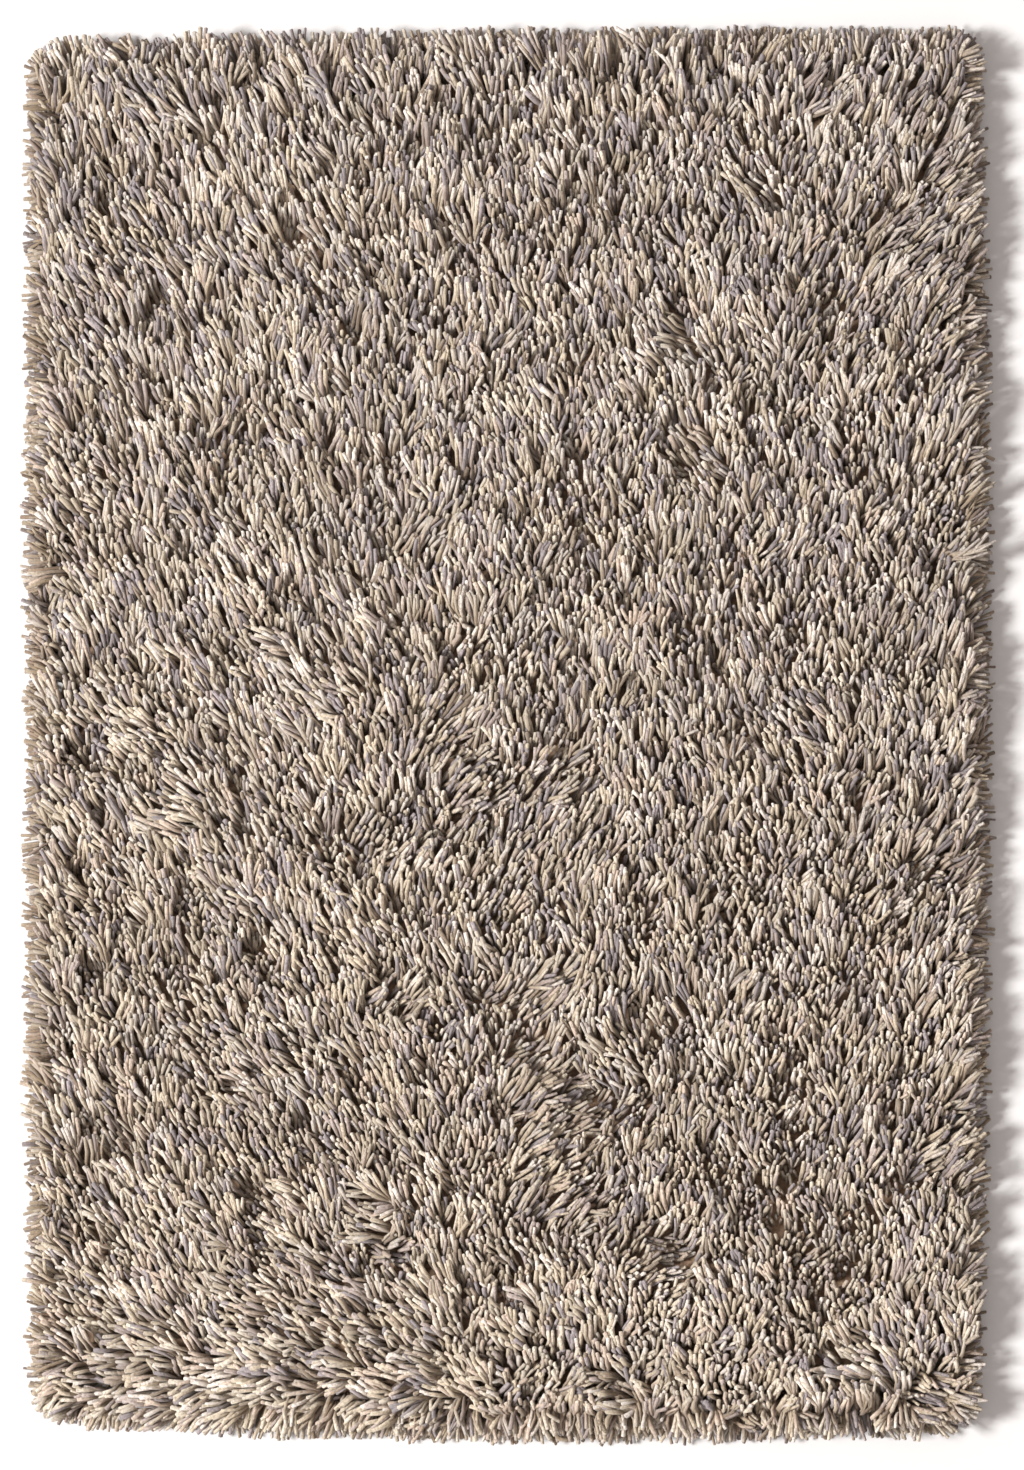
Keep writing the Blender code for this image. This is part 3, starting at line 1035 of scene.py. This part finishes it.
def apply_modifier(piece, kind, **settings):
    """Add a modifier with its settings and apply it."""
    modifier = piece.modifiers.new(kind.title(), kind)
    for key, value in settings.items():
        setattr(modifier, key, value)
    bpy.context.view_layer.objects.active = piece
    bpy.ops.object.modifier_apply(modifier=modifier.name)


# Cells of the two flat grids, across and along.
BACKING_CELLS = (28, 42)
ROOTS_CELLS = (48, 70)
# Packed wool at the foot of the pile: distance from the backing's edge, height at its own
# edge, width of its slope there, and the height and size of its lumps (size in bundles).
ROOTS_BED = {"inset": 0.006, "edge": 0.006, "slope": 0.045, "lump": 0.0035, "lump_size": 1.3}


class RUG_OT_weave_backing(bpy.types.Operator):
    """Lay the woven backing cloth flat on the floor."""

    bl_idname = "rug.weave_backing"
    bl_label = "Weave backing"

    def execute(self, context):
        sizes = context.scene.rug_sizes
        piece = add_grid("backing_cloth", BACKING_CELLS)
        points = mesh_points(piece)
        points[:, :2] = outline_place(points[:, 0], points[:, 1], slab_half_size(sizes))
        move_points(piece, points)
        apply_modifier(piece, "SOLIDIFY", thickness=sizes.backing_thickness, offset=1.0)
        finish_piece(piece, woven_canvas(context.scene.rug_colours.backing))
        return {"FINISHED"}


class RUG_OT_pack_roots(bpy.types.Operator):
    """Fill the foot of the pile with packed wool, lumpy at every knot and dark as painted shade.
    """

    bl_idname = "rug.pack_roots"
    bl_label = "Pack pile roots"

    def execute(self, context):
        sizes = context.scene.rug_sizes
        piece = add_grid("packed_roots", ROOTS_CELLS)
        apply_modifier(piece, "SOLIDIFY", thickness=1.0, offset=1.0)
        points = mesh_points(piece)
        across, along, top = points[:, 0].copy(), points[:, 1].copy(), points[:, 2] > 0.5
        half_size = slab_half_size(sizes) - ROOTS_BED["inset"]
        points[:, :2] = outline_place(across, along, half_size)
        inside = np.min((1.0 - np.abs(np.stack([across, along], axis=-1))) * half_size, axis=1)
        rise = smooth_step(inside / ROOTS_BED["slope"])
        crown = between((ROOTS_BED["edge"], sizes.bed_height), rise)
        lump_size = sizes.bundle_pitch * ROOTS_BED["lump_size"]
        lumps = lattice_noise(points[:, :2], lump_size, FIELD_SEEDS["roots"])
        crown += ROOTS_BED["lump"] * rise * lumps
        points[:, 2] = np.where(top, crown, sizes.backing_thickness)
        move_points(piece, points)
        bpy.ops.object.shade_smooth()
        finish_piece(piece, packed_roots(context.scene.rug_colours.roots))
        return {"FINISHED"}


class RUG_OT_tuft_yarns(bpy.types.Operator):
    """Tuft the combed pile of felted yarns, one piece for each yarn colour."""

    bl_idname = "rug.tuft_yarns"
    bl_label = "Tuft yarns"

    def execute(self, context):
        sizes = context.scene.rug_sizes
        chance = np.random.default_rng(SEED)
        bundles, yarns = lay_yarns(sizes, chance)
        points = yarn_rings(yarns, chance)
        group = deal_tones(bundles, yarns, chance)
        tone, light = yarns["tone"], yarns["light"]
        for number, (name, look) in enumerate(YARN_TONES.items()):
            chosen = group == number
            mesh = join_yarns("yarns_" + name, points[chosen], tone[chosen], light[chosen], sizes)
            piece = bpy.data.objects.new(mesh.name, mesh)
            context.scene.collection.objects.link(piece)
            finish_piece(piece, felted_wool("wool_" + name, look["colour"]))
        return {"FINISHED"}


class RUG_OT_declare_cloth(bpy.types.Operator):
    """A step that leaves the scene as it is."""

    bl_idname = "rug.declare_cloth"
    bl_label = "Declare cloth"

    def execute(self, context):
        return {"FINISHED"}


# Key light: its direction from the rug in degrees, distance, width and colour.
KEY_AZIMUTH = 183.0
KEY_ELEVATION = 40.0
KEY_DISTANCE = 14.0
KEY_SIZE = 3.2
KEY_COLOUR = (1.0, 0.99, 0.98)
SKY_COLOUR = (1.0, 0.905, 0.86)
# Floor: its width, and how far it lies under the rug, clear of the backing's underside.
FLOOR_SIZE = 60.0
FLOOR_DROP = 0.0006
# Place on the floor that the middle of the picture shows, and the camera's film width in mm.
PICTURE_CENTRE = (0.008, -0.003)
SENSOR_WIDTH = 36.0


class RUG_OT_set_stage(bpy.types.Operator):
    """Set the pale floor, the soft key light, the even sky and the camera overhead."""

    bl_idname = "rug.set_stage"
    bl_label = "Set stage"

    def execute(self, context):
        scene, studio = context.scene, context.scene.rug_studio
        bpy.ops.object.select_all(action="DESELECT")
        floor_place = (0.0, 0.0, CAD_LOW.z - FLOOR_DROP)
        bpy.ops.mesh.primitive_plane_add(size=FLOOR_SIZE, location=floor_place)
        floor = context.object
        floor.name = "studio_floor"
        floor.data.materials.append(studio_paper(scene.rug_colours.floor))

        azimuth, elevation = math.radians(KEY_AZIMUTH), math.radians(KEY_ELEVATION)
        place = (
            KEY_DISTANCE * math.cos(elevation) * math.cos(azimuth),
            KEY_DISTANCE * math.cos(elevation) * math.sin(azimuth),
            KEY_DISTANCE * math.sin(elevation),
        )
        bpy.ops.object.light_add(type="AREA", location=place)
        key = context.object
        key.name = "key_light"
        key.data.shape = "DISK"
        key.data.size = KEY_SIZE
        key.data.energy = studio.key_power
        key.data.color = KEY_COLOUR
        key.rotation_euler = (-key.location).to_track_quat("-Z", "Y").to_euler()

        world = bpy.data.worlds.new("studio_sky")
        world.use_nodes = True
        sky = world.node_tree.nodes["Background"]
        sky.inputs["Color"].default_value = opaque(SKY_COLOUR)
        sky.inputs["Strength"].default_value = studio.sky_strength
        scene.world = world
        scene.view_settings.view_transform = "Standard"

        height = studio.camera_height
        bpy.ops.object.camera_add(location=(*PICTURE_CENTRE, height), rotation=(0.0, 0.0, 0.0))
        camera = context.object
        camera.name = "overhead_camera"
        camera.data.sensor_width = SENSOR_WIDTH
        camera.data.lens = SENSOR_WIDTH * height / studio.view_length
        camera.data.clip_end = 100.0
        scene.camera = camera
        return {"FINISHED"}


class RUG_PT_panel(bpy.types.Panel):
    """Sizes, colours and steps of the shag rug."""

    bl_idname = "RUG_PT_panel"
    bl_label = "Shag Rug"
    bl_space_type = "VIEW_3D"
    bl_region_type = "UI"
    bl_category = "Shag Rug"

    def draw(self, context):
        for key, group in SETTINGS.items():
            box = self.layout.box()
            for setting in group.__annotations__:
                box.prop(getattr(context.scene, key), setting)
        for step in STEPS:
            self.layout.operator(step.bl_idname)


STEPS = (
    RUG_OT_weave_backing,
    RUG_OT_pack_roots,
    RUG_OT_tuft_yarns,
    RUG_OT_declare_cloth,
    RUG_OT_set_stage,
)
SETTINGS = {"rug_sizes": RugSizes, "rug_colours": RugColours, "rug_studio": RugStudio}
CLASSES = (*SETTINGS.values(), *STEPS, RUG_PT_panel)


def register():
    """Register the classes and hang their settings on the scene."""
    for item in CLASSES:
        bpy.utils.register_class(item)
    for key, group in SETTINGS.items():
        setattr(bpy.types.Scene, key, bpy.props.PointerProperty(type=group))


def unregister():
    """Take the settings and the classes away again."""
    for key in SETTINGS:
        delattr(bpy.types.Scene, key)
    for item in reversed(CLASSES):
        bpy.utils.unregister_class(item)


def main():
    """Make the rug and its stage, step by step."""
    register()
    bpy.ops.rug.weave_backing()
    bpy.ops.rug.pack_roots()
    bpy.ops.rug.tuft_yarns()
    bpy.ops.rug.declare_cloth()
    bpy.ops.rug.set_stage()


if __name__ == "__main__":
    main()
